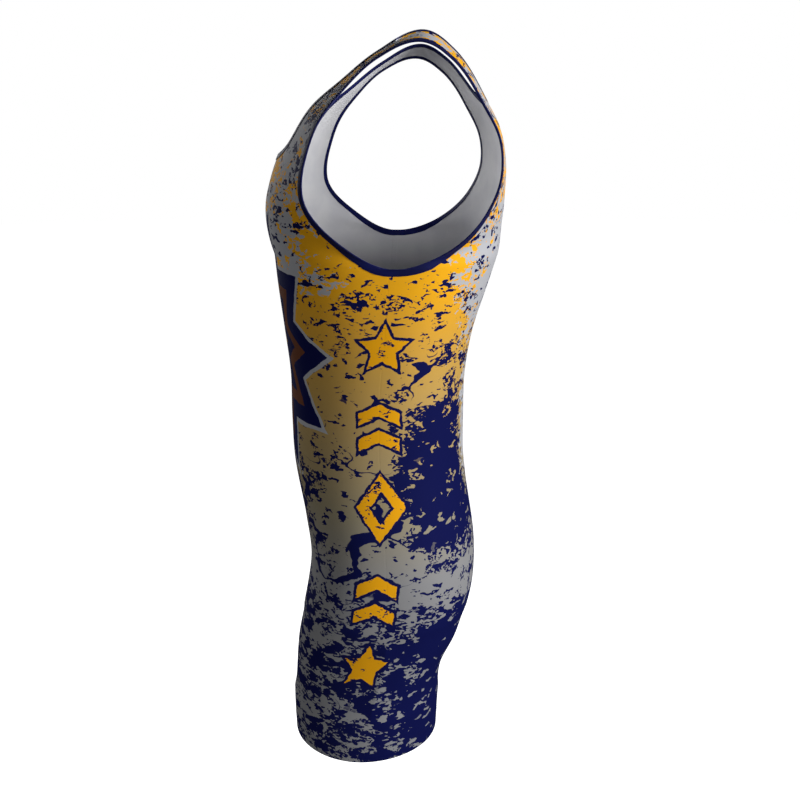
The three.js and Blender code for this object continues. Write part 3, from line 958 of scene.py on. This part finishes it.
def rings(finish, below, depth, layers, share=1):
    """Colours laid over one another, each from its own depth inside an outline."""
    for start, layer in layers:
        below = finish.mix(below, layer, (depth - start).step(0, SHARP) * share)
    return below


def ragged(finish, flat, scale, reach):
    return (finish.noise(flat, scale, 3) - 0.5) * reach


def side_motifs(finish, flat):
    """Depth inside a column of stars, chevrons and a diamond along the side, 0 on their outline."""
    across, z, _ = finish.parts(finish.uv("side"))
    below, lean = LEG_TURN
    across = across + (below - z).most(0) * lean
    width = abs(across)
    shapes = [finish.star(across, z - middle, *SIDE_STAR) for middle in STARS]
    for middle in CHEVRONS:
        bar = CHEVRON_BAR - abs(z - middle + width * CHEVRON_FALL) * CHEVRON_COSINE
        shapes.append(bar.least(CHEVRON_WIDTH - width))
    rim = (width * DIAMOND_WIDTH + abs(z - DIAMOND)) * DIAMOND_COSINE - DIAMOND_SIZE
    shapes.append(DIAMOND_BAR - abs(rim))
    depth = shapes[0]
    for shape in shapes[1:]:
        depth = depth.most(shape)
    return depth + ragged(finish, flat, *MOTIF_RAGGED)


# %% [markdown]
# The whole print is then one finish, put together from the bottom up: flakes, burst, side motifs.
# The gold of the motifs is worn off in flakes of its own. Seams show as grooves, since the two
# edges roll inwards where they are sewn, and a bump is enough for a line 2 mm wide.

# %% The printed cloth
SEAM_GROOVE, SEAM_DEPTH = (0.0013, 0.0002), 7  # metres from the seam, times the knit's depth
WORN_SCALE, WORN_SHARE, WORN_EDGE = (1.7, 1.7, 1.7), 0.14, 0.01


def printed_cloth():
    finish = Finish("printed_cloth", Roughness=0.8, Specular_IOR_Level=0.08)
    place = finish.place()
    z = finish.parts(place)[2]
    flat = finish.moved(place, "MULTIPLY", FLAKE_SHAPE)
    printed = flaked(finish, place, flat, z)
    worn = torn(finish, finish.moved(flat, "MULTIPLY", WORN_SCALE), WORN_APART) - WORN_SHARE
    kept = worn.step(0, WORN_EDGE)

    from_seam = finish.parts(finish.uv("side"))[0]
    from_centre, from_shoulder, _ = finish.parts(finish.uv("knit"))
    up, in_front = z - BURST_MIDDLE, from_seam * FRONT_ONLY
    burst = finish.star(from_centre, up, *BURST) + ragged(finish, flat, *BURST_RAGGED)
    printed = rings(finish, printed, burst.least(in_front), BURST_RINGS)
    middle = finish.star(from_centre, up, *BURST_STAR).least(in_front)
    printed = rings(finish, printed, middle, STAR_RINGS, kept)

    motif = side_motifs(finish, flat)
    printed = rings(finish, printed, motif, [(0, NAVY)])
    printed = rings(finish, printed, motif, [(OUTLINE, MOTIF_GOLD)], kept)
    finish.feed("Base Color", printed)
    seam = abs(from_seam).least(abs(from_shoulder)).step(*SEAM_GROOVE)
    finish.bump(knit_height(finish) - seam * SEAM_DEPTH, PRINT_DEPTH, 0.6)
    return finish.material


print_outside = printed_cloth()
print("shader nodes in the print:", len(print_outside.node_tree.nodes))

# %% [markdown]
# ## Pieces
# Every piece rides on the one body and replaces the CAD node whose form it has. The tapes come
# first, since they are laid on the panels' outer faces, and the panels' raw edges are then drawn
# back inside them. Only after that do the panels get their wall and their two finishes.

# %% Neck and armholes
tape_finish = [navy_tape, navy_tape]
neck_tape, neck_frames, neck_length = binding("neck_tape", neck_edge(), tape_finish)
arm_left, arm_right = arm_edge(), [mirrored(p) for p in arm_edge()][::-1]
left_tape, left_frames, arm_length = binding("armhole_tape_left", arm_left, tape_finish)
right_tape, right_frames, _ = binding("armhole_tape_right", arm_right, tape_finish)
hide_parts("neck_binding")
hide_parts("armhole_binding_left")
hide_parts("armhole_binding_right")
print("edge vertices drawn back:", [trim(f) for f in (neck_frames, left_frames, right_frames)])

# %% Front and back
cloth_finish = [print_outside, white_inside]
front_cloth, back_cloth = (thicken(panels[facing], WALL * MM) for facing in (FRONT, BACK))
front_panel = finish_piece("front", front_cloth, cloth_finish)
back_panel = finish_piece("back", back_cloth, cloth_finish)
print("faces of the panels:", [len(p.data.polygons) for p in (front_panel, back_panel)])
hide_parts("front_panel")
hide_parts("back_panel")

# %% [markdown]
# ## Stitches
# Two rows of stitches go through each tape and two through each hem, so they show outside and
# inside. A stitch is one small sphere stretched along its row. It is under 2 mm long, so a sphere
# of 32 faces is enough. It is made once by an operator, and its vertices are then placed for every
# stitch, because operators get slower as a mesh grows.

# %% One row of stitches
STITCH = (1.9, 0.45, 0.32)  # along the row, across it, and how far it stands up
STITCH_STEP = 2.7
THREAD = colour(12, 17, 68)
thread = Finish("navy_thread", Base_Color=THREAD, Roughness=0.7, Specular_IOR_Level=0.15).material

ball = bmesh.new()
bmesh.ops.create_uvsphere(ball, u_segments=8, v_segments=4, radius=0.5)
BALL_POINTS = [v.co.copy() for v in ball.verts]
BALL_FACES = [[v.index for v in face.verts] for face in ball.faces]
ball.free()


def stitch_row(stitches, route):
    """Stitches at equal steps along a closed route of places and ways out of the cloth."""
    closed = route + route[:1]
    line = [p for p, _ in closed]
    count = round(running_length(line)[-1] / (STITCH_STEP * MM))
    size = Matrix.Diagonal([side * MM for side in STITCH])
    for k, share in list(equal_steps(line, count))[:-1]:
        (a, out_a), (b, out_b) = closed[k], closed[k + 1]
        way = (b - a).normalized()
        side = out_a.lerp(out_b, share).cross(way).normalized()
        turn = Matrix((way, side, way.cross(side))).transposed()
        spot = Matrix.Translation(a.lerp(b, share)) @ (turn @ size).to_4x4()
        corners = [stitches.verts.new(spot @ p) for p in BALL_POINTS]
        for face in BALL_FACES:
            stitches.faces.new([corners[i] for i in face])
    return count


def stitched(name, routes):
    stitches = bmesh.new()
    count = sum(stitch_row(stitches, route) for route in routes)
    for face in stitches.faces:
        face.smooth = True
    print(name, count, "stitches")
    return finish_piece(name, stitches, [thread])


# %% Stitches of the tapes and the hems
# how far onto the cloth, how far out of it
TAPE_ROWS = ((6.05, 0.55), (2.0, 0.57), (6.05, -1.25), (2.0, -1.27))
HEM_ROWS = (15.5, 18.5)  # above the hem
HEM_LIFTS = (0.05, -2 * HEM_TURN - 0.1)  # on the outside and on the inside, out of the cloth


def tape_routes(frames):
    return [
        [(on_tape(at, depth, height), at[2]) for at in frames] for depth, height in TAPE_ROWS
    ]


def hem_route(rise, lift, mirror):
    z = HEM + rise
    stations = [(FRONT, i / COLUMNS) for i in range(COLUMNS)]
    stations += [(BACK, i / COLUMNS) for i in range(COLUMNS, 0, -1)]
    route = []
    for facing, share in stations:
        normal = leg_normal(facing, share, z)
        p = leg_place(facing, share, z) + normal * lift
        route.append((mirrored(p) * MM, mirrored(normal)) if mirror else (p * MM, normal))
    return route


neck_stitches = stitched("neck_stitches", tape_routes(neck_frames))
left_stitches = stitched("armhole_stitches_left", tape_routes(left_frames))
right_stitches = stitched("armhole_stitches_right", tape_routes(right_frames))
hem_routes = [
    hem_route(rise, lift, mirror)
    for rise in HEM_ROWS for lift in HEM_LIFTS for mirror in (False, True)
]
hem_stitches = stitched("hem_stitches", hem_routes)

# %% [markdown]
# ## The cut
# A knit suit is cut smaller than its wearer: here by a tenth round the body and less along it and
# along the tapes. A panel's cut is its widest row and longest column, measured on the cloth, over
# those shares.

# %% Flat sizes
ROUND_STRETCH, LONG_STRETCH, TAPE_STRETCH = 1.10, 1.04, 1.08
TAPE_FLAT_WIDTH = 0.017  # metres, unfolded


def cut_of(facing):
    """Width and length of a panel's flat cut, and its area, in metres."""
    rows = halves[facing]
    across, down = distances(rows)
    leg = max(row[-1] - row[0] for row in across[LEG_START:])
    torso = max(row[-1] for row in across[:LEG_START])
    width = 2 * max(leg, torso) * MM / ROUND_STRETCH
    length = (max(down[-1]) + HEM_DEPTH) * MM / LONG_STRETCH
    return width, length, panel_areas[facing] / (ROUND_STRETCH * LONG_STRETCH)


def rounded(*values):
    return [round(value, 3) for value in values]


for panel, facing, along in ((front_panel, FRONT, [hem_stitches]), (back_panel, BACK, [])):
    width, length, area = cut_of(facing)
    print(panel.name, "cut", rounded(width, length, area))
    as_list(along)
for tape, length, stitches in (
    (neck_tape, neck_length, neck_stitches),
    (left_tape, arm_length, left_stitches),
    (right_tape, arm_length, right_stitches),
):
    flat = (TAPE_FLAT_WIDTH, length / TAPE_STRETCH)
    print(tape.name, "cut", rounded(*flat))

# %% [markdown]
# ## Light and floor
# A large soft light stands on the camera's right, behind the garment, so the front falls into
# shade. A weak one fills it from low in front, and one on the far side lights the chest. Two small
# lamps inside stand for the light that thin knit lets through. The floor lies where the wearer's
# feet would be. It and what the camera sees of the world are white, as in a catalogue picture.

# %% Light
CHEST = (0, 0, -0.35)
# name, watts, size, place, what it looks at
LIGHTS = [
    ("key", 50, 1.5, (1.0, 1.7, 0.35), CHEST),
    ("low_fill", 8, 1.2, (1.3, -0.9, -1.25), CHEST),
    ("far_front", 17, 1.2, (-1.55, -1.05, 0.35), CHEST),
    ("inside_back", 0.06, 0.1, (0.06, -0.02, -0.02), (0.06, 1, -0.15)),
    ("inside_front", 0.42, 0.1, (0.06, 0.03, -0.1), (0.06, -1, -0.3)),
]
WORLD_LIGHT, WORLD_SEEN = (0.03, 0.03, 0.03, 1), (1, 1, 1, 1)

for name, energy, size, place, aim in LIGHTS:
    light = bpy.data.lights.new(name, "AREA")
    light.shape, light.size, light.energy = "DISK", size, energy
    holder = in_scene(name, light)
    holder.location = place
    holder.visible_camera = False
    holder.rotation_euler = (Vector(aim) - Vector(place)).to_track_quat("-Z", "Y").to_euler()

world = bpy.data.worlds.new("studio")
bpy.context.scene.world = world
world.use_nodes = True
nodes, links = world.node_tree.nodes, world.node_tree.links
seen, shade = nodes.new("ShaderNodeLightPath"), nodes.new("ShaderNodeMix")
shade.data_type = "RGBA"
shade.inputs[6].default_value, shade.inputs[7].default_value = WORLD_LIGHT, WORLD_SEEN
links.new(seen.outputs["Is Camera Ray"], shade.inputs[0])
links.new(shade.outputs[2], nodes["Background"].inputs["Color"])
bpy.context.scene.view_settings.view_transform = "Standard"

# %% Floor
FLOOR_Z, FLOOR_RADIUS = -1.36, 12
FLOOR_COLOUR, FLOOR_GLOW = (0.9, 0.9, 0.9, 1), (1, 1, 1, 1)

floor_mesh = bmesh.new()
bmesh.ops.create_circle(floor_mesh, cap_ends=True, radius=FLOOR_RADIUS, segments=64)
bmesh.ops.translate(floor_mesh, verts=floor_mesh.verts, vec=(0, 0, FLOOR_Z))
floor_data = bpy.data.meshes.new("floor")
floor_mesh.to_mesh(floor_data)
floor_mesh.free()
floor = in_scene("floor", floor_data)
glow = {"Emission_Color": FLOOR_GLOW, "Emission_Strength": 1}
floor_finish = Finish("pale_floor", Base_Color=FLOOR_COLOUR, Roughness=0.8, **glow)
floor_data.materials.append(floor_finish.material)
floor.visible_diffuse = floor.visible_glossy = False
